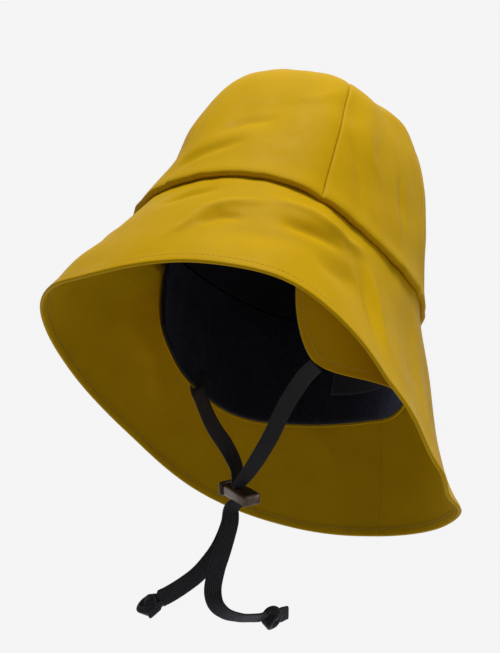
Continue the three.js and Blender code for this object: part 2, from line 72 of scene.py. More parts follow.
def makeCamera():
    # Looks at the origin from below, leaned over by the roll.
    azimuth, elevation, roll = (math.radians(camera[k]) for k in ("azimuth", "elevation", "roll"))
    back = Vector((math.sin(azimuth) * math.cos(elevation), -math.cos(azimuth) * math.cos(elevation),
                   math.sin(elevation)))
    level = Vector((math.cos(azimuth), math.sin(azimuth), 0))
    upright = back.cross(level)
    right = level * math.cos(roll) + upright * math.sin(roll)
    up = upright * math.cos(roll) - level * math.sin(roll)
    data = bpy.data.cameras.new("photoCamera")
    data.sensor_width = camera["sensor"]
    data.lens = camera["focalPixels"] / camera["imageHeight"] * camera["sensor"]
    data.shift_x = -camera["shiftRight"] / camera["imageHeight"]
    data.shift_y = -camera["shiftUp"] / camera["imageHeight"]
    data.clip_start, data.clip_end = 0.01, 20
    made = addObject("photoCamera", data)
    turn = Matrix((right, up, back)).transposed().to_4x4()
    made.matrix_world = Matrix.Translation(back * camera["distance"] * mm) @ turn
    bpy.context.scene.camera = made
    return np.array(back)


towardsCamera = makeCamera()


def node(tree, kind, **values):
    # A shader node with its settings, or its inputs, given by name.
    made = tree.nodes.new(kind)
    for name, value in values.items():
        if hasattr(made, name):
            setattr(made, name, value)
        else:
            made.inputs[name].default_value = value
    return made


def blankMaterial(name, look):
    # A principled material, its tree, its shader and the coordinates that patterns read.
    material = bpy.data.materials.new(name)
    material.use_nodes = True
    material.diffuse_color = (*look["colour"], 1)
    tree = material.node_tree
    shader = tree.nodes["Principled BSDF"]
    shader.inputs["Base Color"].default_value = (*look["colour"], 1)
    for setting, value in look["finish"].items():
        shader.inputs[setting].default_value = value
    return material, tree, shader, tree.nodes.new("ShaderNodeTexCoord").outputs


def noise(tree, source, scale, detail=3, roughness=0.5, distortion=0):
    # Noise over a place; its factor is mostly between 0.3 and 0.7.
    made = node(tree, "ShaderNodeTexNoise", Scale=scale, Detail=detail, Roughness=roughness,
                Distortion=distortion)
    tree.links.new(source, made.inputs["Vector"])
    return made.outputs["Fac"]


def remap(tree, source, low, high, fromLow=0.3, fromHigh=0.7):
    # A straight line from one range to another, kept inside it.
    made = node(tree, "ShaderNodeMapRange", **{"From Min": fromLow, "From Max": fromHigh,
                                               "To Min": low, "To Max": high})
    tree.links.new(source, made.inputs["Value"])
    return made.outputs["Result"]


def compute(tree, operation, first, second=None):
    # A maths node of one or two values, of which the second may be a plain number.
    made = node(tree, "ShaderNodeMath", operation=operation)
    tree.links.new(first, made.inputs[0])
    if isinstance(second, (int, float)):
        made.inputs[1].default_value = second
    elif second is not None:
        tree.links.new(second, made.inputs[1])
    return made.outputs["Value"]


def paint(tree, shader, factor, first, second):
    # Base colour that goes from the first colour to the second with the factor.
    made = tree.nodes.new("ShaderNodeMix")
    made.data_type = "RGBA"
    factorIn, firstIn, secondIn = (s for s in made.inputs if s.enabled)
    firstIn.default_value = (*first, 1)
    secondIn.default_value = (*second, 1)
    tree.links.new(factor, factorIn)
    tree.links.new(next(s for s in made.outputs if s.enabled), shader.inputs["Base Color"])


def addBump(tree, shader, *heights):
    # One bump after another: each is a height socket and (strength, distance in metres).
    normal = None
    for height, (strength, distance) in heights:
        made = node(tree, "ShaderNodeBump", Strength=strength, Distance=distance)
        tree.links.new(height, made.inputs["Height"])
        if normal:
            tree.links.new(normal, made.inputs["Normal"])
        normal = made.outputs["Normal"]
    tree.links.new(normal, shader.inputs["Normal"])


def makeFinish(name, look):
    # A material from its look: named noises over the object, each (scale, detail, roughness, distortion).
    # One goes from the first colour to the second, one may set the roughness, and the bumps are
    # (noise, strength, distance in metres).
    material, tree, shader, place = blankMaterial(name, look)
    noises = {key: noise(tree, place["Object"], *values) for key, values in look["noises"].items()}
    pattern, low, high = look["mix"]
    paint(tree, shader, remap(tree, noises[pattern], 0, 1, low, high), look["colour"], look["second"])
    if "roughness" in look:
        pattern, low, high = look["roughness"]
        tree.links.new(remap(tree, noises[pattern], low, high), shader.inputs["Roughness"])
    if "bumps" in look:
        addBump(tree, shader, *((noises[pattern], sizes) for pattern, *sizes in look["bumps"]))
    return material


# Coated cloth: soft mottling, a slight rumple at two scales and a very fine weave under the coat.
rainCloth = {"colour": (0.56, 0.335, 0.005), "second": (0.52, 0.305, 0.003),
             "noises": {"mottle": (22, 4, 0.6), "shine": (120, 3), "rumple": (38, 3, 0.45, 0.6),
                        "crease": (120, 4, 0.5, 0.4), "weave": (1500, 2, 0.6)},
             "mix": ("mottle", 0.3, 0.7), "roughness": ("shine", 0.46, 0.6),
             "bumps": (("rumple", 0.35, 0.0012), ("crease", 0.22, 0.0004), ("weave", 0.18, 0.00006)),
             "finish": {"Specular IOR Level": 0.03}}
# Brushed fleece: clumps of short fibres whose tips are a little lighter, with a bluish sheen.
fleece = {"colour": (0.008, 0.008, 0.0115), "second": (0.02, 0.02, 0.032),
          "noises": {"clump": (260, 5, 0.65, 1.2), "fibre": (2400, 3, 0.7, 0.8)},
          "mix": ("clump", 0.3, 0.7), "bumps": (("clump", 0.7, 0.0008), ("fibre", 0.7, 0.0002)),
          "finish": {"Roughness": 0.95, "Specular IOR Level": 0.15, "Sheen Weight": 0.35,
                     "Sheen Roughness": 0.4, "Sheen Tint": (0.55, 0.6, 1, 1)}}
# Fine fleece with smaller clumps.
liningFleece = {**fleece, "second": (0.012, 0.012, 0.016),
                "noises": {**fleece["noises"], "clump": (600, 5, 0.65, 1.2)}}
# Moulded plastic with a bronze cast, a fine grain and lighter worn patches.
bronzePlastic = {"colour": (0.1, 0.066, 0.04), "second": (0.2, 0.155, 0.115),
                 "noises": {"wear": (140, 5, 0.6, 0.5), "grain": (2520, 3)},
                 "mix": ("wear", 0.45, 0.75), "roughness": ("grain", 0.27, 0.4),
                 "bumps": (("grain", 0.25, 0.00005),), "finish": {"Metallic": 0.35}}
# Twisted sewing thread, and white seamless paper; their second colour is a little darker.
thread = {"noises": {"twist": (3000, 2)}, "mix": ("twist", 0.3, 0.7), "bumps": (("twist", 0.5, 0.0001),),
          "darker": 0.7, "finish": {"Roughness": 0.6}}
paper = {"noises": {"fibre": (3, 4)}, "mix": ("fibre", 0.3, 0.7), "darker": 0.99,
         "finish": {"Roughness": 0.9, "Specular IOR Level": 0.1}}
# The backdrop is lit from within, so that it stays even.
glowingPaper = {**paper, "finish": {**paper["finish"], "Emission Color": (1, 1, 1, 1),
                                    "Emission Strength": 0.9}}


def makeShaded(name, look, colour):
    # A finish whose second colour is its own colour made darker.
    return makeFinish(name, {**look, "colour": colour, "second": tuple(c * look["darker"] for c in colour)})


elastic = {"colour": (0.011, 0.011, 0.013), "thread": (0.06, 0.058, 0.07), "ribs": 9,
           "weftPitch": 0.0009, "weftShare": 0.35, "fuzzScale": 1800, "fuzz": (0.02, 0.55),
           "ribBump": (0.6, 0.00025), "fuzzBump": (0.4, 0.0001),
           "finish": {"Roughness": 0.8, "Specular IOR Level": 0.3, "Sheen Weight": 0.25,
                      "Sheen Roughness": 0.4, "Sheen Tint": (0.8, 0.8, 1, 1)}}


def makeElastic(name, look):
    # Flat elastic: ribs along its length and wefts across it, read from the strip's own UV map.
    # U runs across the strip from 0 to 1, V along it in metres.
    material, tree, shader, place = blankMaterial(name, look)
    apart = tree.nodes.new("ShaderNodeSeparateXYZ")
    tree.links.new(place["UV"], apart.inputs["Vector"])

    def wave(source, count):
        turns = compute(tree, "MULTIPLY", source, count * 2 * math.pi)
        return remap(tree, compute(tree, "SINE", turns), 0, 1, -1, 1)

    ribs = wave(apart.outputs["X"], look["ribs"])
    wefts = remap(tree, wave(apart.outputs["Y"], 1 / look["weftPitch"]), 1 - look["weftShare"], 1, 0, 1)
    crossed = compute(tree, "MULTIPLY", ribs, wefts)
    fuzz = noise(tree, place["Object"], look["fuzzScale"], 3, 0.7)
    paint(tree, shader, remap(tree, compute(tree, "MULTIPLY", crossed, fuzz), 0, 1, *look["fuzz"]),
          look["colour"], look["thread"])
    addBump(tree, shader, (crossed, look["ribBump"]), (fuzz, look["fuzzBump"]))
    return material


print("materials")
clothMaterial = makeFinish("ochreRainCloth", rainCloth)
fleeceMaterial = makeFinish("blackFleece", fleece)
liningMaterial = makeFinish("blackLining", liningFleece)
elasticMaterial = makeElastic("blackElastic", elastic)
lockMaterial = makeFinish("bronzePlastic", bronzePlastic)
threadMaterial = makeShaded("ochreThread", thread, (0.6, 0.42, 0.09))
sameThread = makeShaded("clothColouredThread", thread, (0.5, 0.295, 0.01))
blackThread = makeShaded("blackThread", thread, (0.03, 0.03, 0.035))
labelMaterial = makeElastic("labelCloth", {**elastic, "ribs": 80, "weftPitch": 0.0006, "weftShare": 1,
                                           "thread": (0.09, 0.09, 0.1)})


def addPiece(name, points, faces, material, uv=None):
    # A smooth mesh piece of the hat: points in millimetres, faces as rows of corners, uv by point.
    # Its faces are turned over where the volume they enclose, sum of a . (b x c) / 6, is negative.
    mesh = bpy.data.meshes.new(name)
    points = np.asarray(points, dtype=float).reshape(-1, 3) * mm
    faces = np.asarray(faces, dtype=np.int32)
    a, b, c, d = (points[faces[:, i]] for i in (0, 1, 2, -1))
    if np.sum(a * (np.cross(b, c) + np.cross(c, d))) < 0:
        faces = np.ascontiguousarray(faces[:, ::-1])
    mesh.vertices.add(len(points))
    mesh.vertices.foreach_set("co", points.ravel())
    corners = faces.shape[1]
    mesh.loops.add(faces.size)
    mesh.loops.foreach_set("vertex_index", faces.ravel())
    mesh.polygons.add(len(faces))
    mesh.polygons.foreach_set("loop_start", np.arange(len(faces), dtype=np.int32) * corners)
    mesh.polygons.foreach_set("use_smooth", np.full(len(faces), True))
    mesh.update(calc_edges=True)
    if uv is not None:
        layer = mesh.uv_layers.new(name="UVMap")
        layer.data.foreach_set("uv", np.asarray(uv, dtype=float).reshape(-1, 2)[faces.ravel()].ravel())
    mesh.materials.append(material)
    made = addObject(name, mesh)
    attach(made, hatBody)
    return made


def gridFaces(rows, columns, close=False, first=0, flip=False):
    # Quads of a grid, rows by columns, closed across the columns if asked.
    row, column = np.meshgrid(np.arange(rows - 1), np.arange(columns if close else columns - 1),
                              indexing="ij")
    following = (column + 1) % columns
    quads = np.stack([row * columns + column, row * columns + following,
                      (row + 1) * columns + following, (row + 1) * columns + column], -1).reshape(-1, 4)
    return (quads[:, ::-1] if flip else quads) + first


# The hat's surfaces, as in the CAD model: angles are degrees from the front towards the wearer's left,
# and a degree is about 1.73 mm round the head.
crown = {"halfWidth": 93, "halfLength": 105.5, "height": 147, "shiftBack": 8, "round": 3.3, "rise": 3.0,
         "taper": 0.1, "gores": 6, "cloth": 1.4, "bulge": 1.8, "bulgeHeight": 9, "wave": 8,
         "hollow": 4.5, "fadeLow": 0.136, "fadeTop": 0.01, "degree": 1.73}
brim = {"length": 134, "setIn": 3, "hemWidth": 6, "hemRaise": 0.5, "fold": 4, "collar": 9}
flap = {"depth": 79, "pull": 28, "frontLeft": 60, "frontRight": 292.5, "corner": 24, "shell": 1.0,
        "fleece": 2.0, "gap": 0.3}


def rowsOf(columns, *rows):
    # Rows of values under the same column names.
    names = columns.split()
    return [dict(zip(names, row)) for row in rows]


baseTable = rowsOf(
    "angle out rise",
    (0, 0.3, 0.3), (45, -0.1, 1.0), (90, -0.7, -0.45), (135, -0.4, -0.5), (180, 0.1, -0.2),
    (225, 0.25, -0.25), (270, 0.25, 0), (315, 0.35, 0.05))
brimTable = rowsOf(
    "angle reach slope curl",
    (0, 0.646, 21.3, 8.5), (30, 0.642, 21.5, 8), (60, 0.66, 23, 4.5), (90, 0.811, 19, -10),
    (120, 0.975, 15.5, -22), (150, 1, 19.5, -8), (180, 1.005, 16.1, 12), (210, 0.995, 19.4, 9),
    (240, 0.932, 20.2, 4.5), (270, 0.785, 22, 4), (300, 0.684, 24, 2), (330, 0.64, 28, 3))
flapTable = rowsOf(
    "angle depth pull",
    (60, 0.97, 0.9), (90, 0.965, 0.85), (120, 0.88, -0.12), (150, 0.85, 0), (180, 0.79, 0), (210, 0.82, 0),
    (240, 0.9, 0.15), (270, 0.88, 0.85), (300, 0.82, 1.05))
# Soft bumps: middle, half sizes in degrees and shares of the slant, height in shares of the fold,
# and for the finer ones a lean in degrees over the whole slant.
brimFolds = rowsOf(
    "angle along halfAngle halfAlong depth",
    (42, 0.55, 13, 0.22, -0.8), (62, 0.3, 8, 0.2, 0.7), (75, 0.62, 9, 0.2, -0.7), (118, 0.6, 7, 0.6, 0.9),
    (137, 0.34, 14, 0.3, 0.95), (140, 1, 9, 0.12, 0.9), (205, 0.7, 12, 0.35, -0.6),
    (250, 0.7, 10, 0.4, 0.6), (330, 0.5, 14, 0.4, -0.5), (344, 0.74, 12, 0.2, 0.5))
fineFolds = rowsOf(
    "angle along halfAngle halfAlong depth lean",
    (55, 0.33, 9, 0.07, 0.22, 40), (74, 0.3, 4, 0.16, -0.28, 30), (48, 0.62, 10, 0.1, -0.3, -60),
    (80, 0.5, 2.6, 0.5, -0.22, 8))
crownDents = rowsOf(
    "angle along halfAngle halfAlong depth",
    (25, 0.45, 16, 0.16, -0.9), (64, 0.6, 7, 0.14, -0.7), (56, 0.92, 24, 0.12, -0.65),
    (104, 0.9, 16, 0.1, 1), (125, 0.38, 20, 0.3, -0.45), (108, 0.4, 9, 0.25, -0.5),
    (200, 0.5, 18, 0.2, -0.7), (342, 0.24, 14, 0.13, -1.25), (357, 0.74, 22, 0.13, 0.5))
# Creases along lines of (angle, share of the way) places, their width and height in millimetres.
crownCreases = rowsOf(
    "width height line",
    (4, -2.8, [(2, 0.1), (12, 0.16), (27, 0.22)]),
    (4.5, -2, [(12, 0.28), (22, 0.36), (34, 0.38)]),
    (3, -1.9, [(64, 0.42), (70, 0.3), (76, 0.12)]),
    (4, 1.6, [(70, 0.6), (76, 0.42), (84, 0.3)]),
    (3.4, -2, [(96, 0.5), (100, 0.3), (104, 0.1)]),
    (5, 1, [(38, 0.5), (48, 0.56), (56, 0.66)]),
    (6, -1, [(140, 0.5), (150, 0.35), (164, 0.28)]),
    (6, -1, [(230, 0.45), (244, 0.32), (262, 0.3)]),
    (6, 0.8, [(285, 0.6), (300, 0.5), (318, 0.52)]))
brimCreases = rowsOf(
    "width height line",
    (3.6, 3.1, [(20, 0.7), (24, 0.58), (27, 0.43), (32, 0.35), (42, 0.28)]),
    (3.6, -2.5, [(26, 0.62), (31, 0.5), (38, 0.47)]),
    (4.2, 3.8, [(44, 0.24), (54, 0.24), (63, 0.27), (72, 0.22), (80, 0.14)]),
    (5.5, -4.2, [(48, 0.44), (55, 0.42), (62, 0.4), (70, 0.34)]),
    (3.6, -2.3, [(8, 0.3), (16, 0.22), (26, 0.18)]),
    (8, -2.3, [(60, 0.7), (68, 0.6), (76, 0.45)]),
    (2.6, 1.6, [(82, 0.2), (86, 0.45), (88, 0.75)]),
    (4.4, -1.5, [(78, 0.3), (82, 0.55), (84, 0.8)]),
    (9, -1.4, [(196, 0.9), (200, 0.6), (212, 0.35)]),
    (8, 1.2, [(160, 0.85), (163, 0.55), (158, 0.3)]),
    (9, 1.3, [(232, 0.8), (238, 0.5), (250, 0.3)]),
    (7, -1, [(262, 0.75), (272, 0.5), (290, 0.4)]),
    (6, 1.2, [(322, 0.6), (336, 0.45), (352, 0.42)]))
creaseShape = {"fall": 1.6, "endPower": 0.7, "endShare": 0.02, "brimSlant": 100}
# Small gathers at a sewn edge, each (waves round, start, share), and long shallow waves of the cloth.
gathers = {"height": 0.5, "fade": 11, "waves": ((29, 0, 0.5), (47, 40, 0.3))}
longWaves = {"waves": ((9, 2.3, 0), (14, -4.1, 70), (6, 6.3, 200)), "heights": (0.22, 0.2, 0.15)}


def around(table, column, angle):
    # A smooth cubic through evenly spaced rows, closed round the hat where they fill it.
    step = table[1]["angle"] - table[0]["angle"]
    values = np.array([entry[column] for entry in table], dtype=float)
    place = (angle - table[0]["angle"]) / step
    row = np.floor(place).astype(int)
    share = place - row
    whole = len(table) * step == 360

    def at(index):
        return values[index % len(values)] if whole else values[np.clip(index, 0, len(values) - 1)]

    before, here, following, after = (at(row + i) for i in (-1, 0, 1, 2))
    slopeHere, slopeNext = (following - before) / 2, (after - here) / 2
    square, cube = share ** 2, share ** 3
    return (here * (2 * cube - 3 * square + 1) + slopeHere * (cube - 2 * square + share)
            + following * (3 * square - 2 * cube) + slopeNext * (cube - square))


def bumps(table, angle, along):
    # The sum of soft bumps, each an ellipse that may lean across the angle as it goes along.
    total = np.zeros(np.broadcast(angle, along).shape)
    for fold in table:
        off = along - fold["along"]
        turn = (angle - fold["angle"] - fold.get("lean", 0) * off + 540) % 360 - 180
        total += fold["depth"] * np.exp(-(turn / fold["halfAngle"]) ** 2 - (off / fold["halfAlong"]) ** 2)
    return total * brim["fold"]


def creases(table, angle, along, length):
    # Ridges and valleys along lines: height * exp(-(distance / width) ** fall), with the distance to the
    # line in millimetres, and dying away at the line's two ends as a power of a sine.
    total = np.zeros(np.broadcast(angle, along).shape)
    for fold in table:
        line = np.array(fold["line"], dtype=float) * [crown["degree"], length]
        nearest, place = np.full(total.shape, 1e9), np.zeros(total.shape)
        for i, (start, end) in enumerate(zip(line[:-1], line[1:])):
            way = end - start
            east, north = angle * crown["degree"] - start[0], along * length - start[1]
            share = np.clip((east * way[0] + north * way[1]) / (way @ way), 0, 1)
            distance = np.hypot(east - share * way[0], north - share * way[1])
            closer = distance < nearest
            nearest, place = np.where(closer, distance, nearest), np.where(closer, i + share, place)
        end = creaseShape["endShare"]
        taper = np.sin(np.pi * np.clip(place / (len(line) - 1), end, 1 - end)) ** creaseShape["endPower"]
        total += fold["height"] * taper * bell(nearest, fold["width"], creaseShape["fall"])
    return total


def puckers(angle, height):
    # Gathers that run up from the sewn edge and fade away above it.
    ripple = sum(np.sin(np.radians(angle * count + start)) * share
                 for count, start, share in gathers["waves"])
    return gathers["height"] * ripple * np.exp(-np.abs(height) / gathers["fade"])


def rumples(angle, height):
    # Three crossing sine waves multiplied in pairs, up to about half a millimetre in all.
    first, second, third = (np.sin(np.radians(angle * count + height * climb + start))
                            for count, climb, start in longWaves["waves"])
    one, two, three = longWaves["heights"]
    return one * first * second + two * second * third + three * third * first


def outward(angle):
    # Level direction away from the head.
    turn = np.radians(angle)
    return unit(np.stack([np.sin(turn) / crown["halfWidth"], -np.cos(turn) / crown["halfLength"],
                          np.zeros_like(turn)], -1))


def ringPoint(angle, offset, height):
    # The crown's lower edge, moved out and up.
    angle, offset, height = np.broadcast_arrays(angle, np.asarray(offset, dtype=float), height)
    turn = np.radians(angle)
    out = crown["wave"] * around(baseTable, "out", angle)
    rise = crown["wave"] * around(baseTable, "rise", angle)
    point = np.stack([(crown["halfWidth"] + out) * np.sin(turn),
                      -(crown["halfLength"] + out) * np.cos(turn), rise + height], -1)
    return point + outward(angle) * offset[..., None]


def domePoint(angle, share, hollow):
    # A boxy dome that leans back: cosine and sine of the share, flattened by two roundings.
    angle, share = np.broadcast_arrays(np.asarray(angle, dtype=float), np.asarray(share, dtype=float))
    turn = share * np.pi / 2
    width = np.cos(turn) ** (2 / crown["round"])
    height = np.sin(turn) ** (2 / crown["rise"])
    ring = ringPoint(angle, 0, 0)
    belly = (1 - np.cos(np.radians(angle * crown["gores"]))) / 2
    scale = width * (1 - crown["taper"] * height)
    point = np.stack([ring[..., 0] * scale, ring[..., 1] * scale + crown["shiftBack"] * height,
                      ring[..., 2] * (1 - share) + crown["height"] * height], -1)
    lobe = hollow * belly * np.minimum(1, height * 3) * width
    return point - outward(angle) * lobe[..., None]


def domeNormal(angle, share):
    # Cross product of the smooth dome's slopes round it and up it.
    step = 0.002
    low = domePoint(angle, np.maximum(share - step, 0), 0)
    high = domePoint(angle, np.minimum(share + step, 1 - 1e-6), 0)
    across = domePoint(angle + 0.5, share, 0) - domePoint(angle - 0.5, share, 0)
    return unit(np.cross(across, high - low))


def shareAtHeight(height):
    # The dome's height turned round: arcsine of the height's share to the power rise / 2.
    return np.arcsin((height / crown["height"]) ** (crown["rise"] / 2)) * 2 / np.pi


def crownPoint(angle, share, offset):
    # The dome with its rolled lower edge and its dents, moved along its normal.
    point = domePoint(angle, share, crown["hollow"])
    height = point[..., 2] - ringPoint(angle, 0, 0)[..., 2]
    roll = crown["bulge"] * bell(height, crown["bulgeHeight"])
    rise = height / crown["height"]
    fade = np.clip(np.minimum(rise / crown["fadeLow"], (1 - rise) / crown["fadeTop"]), 0, 1)
    dent = bumps(crownDents, angle, rise) * fade
    return (point + outward(angle) * roll[..., None]
            + domeNormal(angle, share) * (offset + dent)[..., None])


def shellPiece(name, replaced, outer, inner, material, slotName, closed=False, uv=None):
    # A closed shell from an outer and an inner grid with the same rows, joined at their borders.
    rows, columns = outer.shape[:2]
    count = rows * columns
    faces = [gridFaces(rows, columns, closed), gridFaces(rows, columns, closed, first=count, flip=True)]
    ids = np.arange(count).reshape(rows, columns)

    def join(line, flip):
        following = np.roll(line, -1) if closed else line[1:]
        here = line if closed else line[:-1]
        quads = np.stack([here, here + count, following + count, following], -1)
        faces.append(quads[:, ::-1] if flip else quads)

    join(ids[0], False)
    join(ids[-1], True)
    if not closed:
        join(ids[:, 0], True)
        join(ids[:, -1], False)
    points = np.concatenate([outer.reshape(-1, 3), inner.reshape(-1, 3)])
    both = None if uv is None else np.concatenate([uv.reshape(-1, 2)] * 2)
    made = addPiece(name, points, np.concatenate(faces), material, uv=both)
    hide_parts(replaced)
    return made


stitch = {"length": 2.3, "pitch": 3.1, "width": 0.55, "height": 0.35, "sink": 0.05}
faintStitch = {"length": 1.9, "pitch": 2.9, "width": 0.4, "height": 0.16, "sink": 0.05}


def stitchLine(name, replaced, line, normals, material=threadMaterial, size=stitch):
    # Short raised lozenges along a line on a surface: six corners round, five rings long.
    line = np.asarray(line, dtype=float)
    lengths = np.concatenate([[0], np.cumsum(np.linalg.norm(np.diff(line, axis=0), axis=1))])
    count = int(lengths[-1] / size["pitch"])
    middles = (np.arange(count) + 0.5) * size["pitch"]

    def along(values, places):
        return np.stack([np.interp(places, lengths, values[:, i]) for i in range(3)], -1)

    centre = along(line, middles)
    way = unit(along(line, middles + 0.4) - along(line, middles - 0.4))
    up = unit(along(np.asarray(normals, dtype=float), middles))
    side = unit(np.cross(way, up))
    up = np.cross(side, way)
    shares = np.array([-0.5, -0.3, 0, 0.3, 0.5])
    swell = np.array([0.25, 0.85, 1, 0.85, 0.25])[:, None]
    spin = np.arange(6) / 6 * 2 * np.pi
    lift = swell * np.sin(spin) * size["height"] / 2 - (1 - swell) * size["sink"]
    points = (centre[:, None, None] + way[:, None, None] * (shares * size["length"])[None, :, None, None]
              + side[:, None, None] * (swell * np.cos(spin) * size["width"] / 2)[None, ..., None]
              + up[:, None, None] * lift[None, ..., None])
    caps = np.array([[0, 1, 2, 3], [0, 3, 4, 5], [27, 26, 25, 24], [29, 28, 27, 24]])
    one = np.concatenate([gridFaces(len(shares), len(spin), True, flip=True), caps])
    faces = (one[None] + (np.arange(count) * len(shares) * len(spin))[:, None, None]).reshape(-1, 4)
    made = addPiece(name, points, faces, material)
    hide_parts(replaced)
    return made


print("crown")
seam = {"dip": 1.1, "halfWidth": 0.6, "sink": 0.5, "sinkWidth": 3.2, "step": 0.3, "lap": 4, "gap": 0.12,
        "curlRadius": 2.4, "curlTurns": (172, 150, 128, 106, 84, 62, 40, 20)}
# Columns start at these degrees from each seam; folds fade out towards the crown's top and its edge.
goreLook = {"columns": (0, 0.12, 0.3, 0.55, 0.85, 1.25, 1.8, 2.6, 3.8, 5.2), "between": 32, "rows": 88,
            "rowPower": 1.25, "topFade": 12, "edgeFade": 10}
liningLook = {"step": 2.5, "rows": 46, "rowPower": 1.3, "outer": -1.0, "inner": -2.2, "away": 0.1}


def seamColumns(middle, half):
    # Angles of one gore's columns: close together by its seams, about 1.6 degrees apart between them.
    near = np.array(goreLook["columns"])
    between = np.linspace(near[-1], 2 * half - near[-1], goreLook["between"])[1:-1]
    return middle - half + np.concatenate([near, between, 2 * half - near[::-1]])


def domeShares(height, look, top):
    # Shares of the rows from a height up to just below the top, closer together low down.
    low = shareAtHeight(height)
    return low + (1 - top - low) * (np.arange(look["rows"]) / (look["rows"] - 1)) ** look["rowPower"]


def crownMove(angle, share):
    # How far the cloth's soft waves, gathers and folds move it along its normal; it dies away at the top.
    rise = np.sin(share * np.pi / 2) ** (2 / crown["rise"])
    height = crown["height"] * rise
    width = np.cos(share * np.pi / 2) ** (2 / crown["round"])
    radius = (crown["halfWidth"] + crown["halfLength"]) / 2 * width
    fade = np.minimum(1, radius / goreLook["topFade"])
    folds = creases(crownCreases, angle, rise, crown["height"])
    folds = folds * np.minimum(1, height / goreLook["edgeFade"])
    return (puckers(angle, height) + rumples(angle, height) + folds) * fade, radius, fade


def goreSurface(angles, shares, offset, seams):
    # One face of a gore: the crown's surface, sunk at its two sides, with the seam's dip and the lap
    # over the next gore on the outer face. Each is a bell of the distance to the seam.
    angle, share = np.meshgrid(angles, shares)
    move, radius, fade = crownMove(angle, share)
    first, last = (np.abs(angle - edge) * np.pi / 180 * radius for edge in (angles[0], angles[-1]))

    def bells(width):
        return bell(first, width) + bell(last, width)

    move = move - seam["sink"] * bells(seam["sinkWidth"]) * fade
    if seams:
        lap = bell(first, seam["lap"], 4)
        move = move + (seam["step"] * lap - seam["dip"] * bells(seam["halfWidth"])) * fade
    return crownPoint(angle, share, offset + move)


def goreFace(angles, shares, side, seams):
    # The dome's rows above, and below them the edge that curls in under itself to the brim.
    upper = goreSurface(angles, shares, crown["cloth"] / 2 * side, seams)
    middle = goreSurface(angles, shares[:1], crown["cloth"] / 2 - seam["curlRadius"], False)[0]
    reach = seam["curlRadius"] - (0 if side > 0 else crown["cloth"])
    turns = np.radians(seam["curlTurns"])[:, None, None]
    upward = np.array([0, 0, 1])
    curl = middle[None] + reach * (outward(angles)[None] * np.cos(turns) - upward * np.sin(turns))
    return np.concatenate([curl, upper])


def makeGore(name, replaced, middle):
    # One gore of the crown, drawn back from both its seams by half the gap.
    angles = seamColumns(middle, 180 / crown["gores"])
    shares = domeShares(seam["curlRadius"] - 0.5, goreLook, 1e-7)
    outer = goreFace(angles, shares, 1, True)
    inner = goreFace(angles, shares, -1, False)
    for grid in (outer, inner):
        grid[:, 0] += unit(grid[:, 2] - grid[:, 0] + 1e-9) * seam["gap"] / 2
        grid[:, -1] += unit(grid[:, -3] - grid[:, -1] + 1e-9) * seam["gap"] / 2
    return shellPiece(name, replaced, outer, inner, clothMaterial, "cloth")


goreNames = (("FrontLeft", "front_left"), ("Left", "left"), ("BackLeft", "back_left"),
             ("BackRight", "back_right"), ("Right", "right"), ("FrontRight", "front_right"))
gores = [makeGore("crownGore" + name, "crown_gore_" + replaced, (place + 0.5) * 360 / crown["gores"])
         for place, (name, replaced) in enumerate(goreNames)]

print("lining")
liningGrid = np.meshgrid(np.arange(0, 360, liningLook["step"]),
                         domeShares(brim["collar"] + 0.3, liningLook, 1e-6))
liningMove = crownMove(*liningGrid)[0]
liningAway = seam["sink"] + liningLook["away"]
liningPiece = shellPiece("crownLining", "crown_lining",
                         crownPoint(*liningGrid, liningLook["outer"] - liningAway + liningMove),
                         crownPoint(*liningGrid, liningLook["inner"] - liningAway + liningMove),
                         liningMaterial, "lining", closed=True)

print("brim")
brimLook = {"columns": 520, "crowding": 0.4, "rows": 56, "cloth": 1.4, "stitchIn": 5.2, "groove": 0.3,
            "grooveWidth": 0.7, "hemSoft": 0.35, "edgeRound": 1.2, "seamDip": 0.55, "seamWidth": 0.6,
            "lapRaise": 0.25, "lapMiddle": 3, "lapWidth": 2, "meanRadius": 100, "collarSeat": -1.7}
# Rows lie closer together by the rim: millimetres from it on a slant of 110.
rimRows = np.array([0, 0.08, 0.25, 0.5, 0.85, 1.3, 2.2, 3.4, 4.3, 4.8, 5.2, 5.6, 6.1, 6.6, 7.4]) / 110


def brimLength(angles):
    # The slant at an angle: the longest slant times the table's reach.
    return brim["length"] * around(brimTable, "reach", angles)


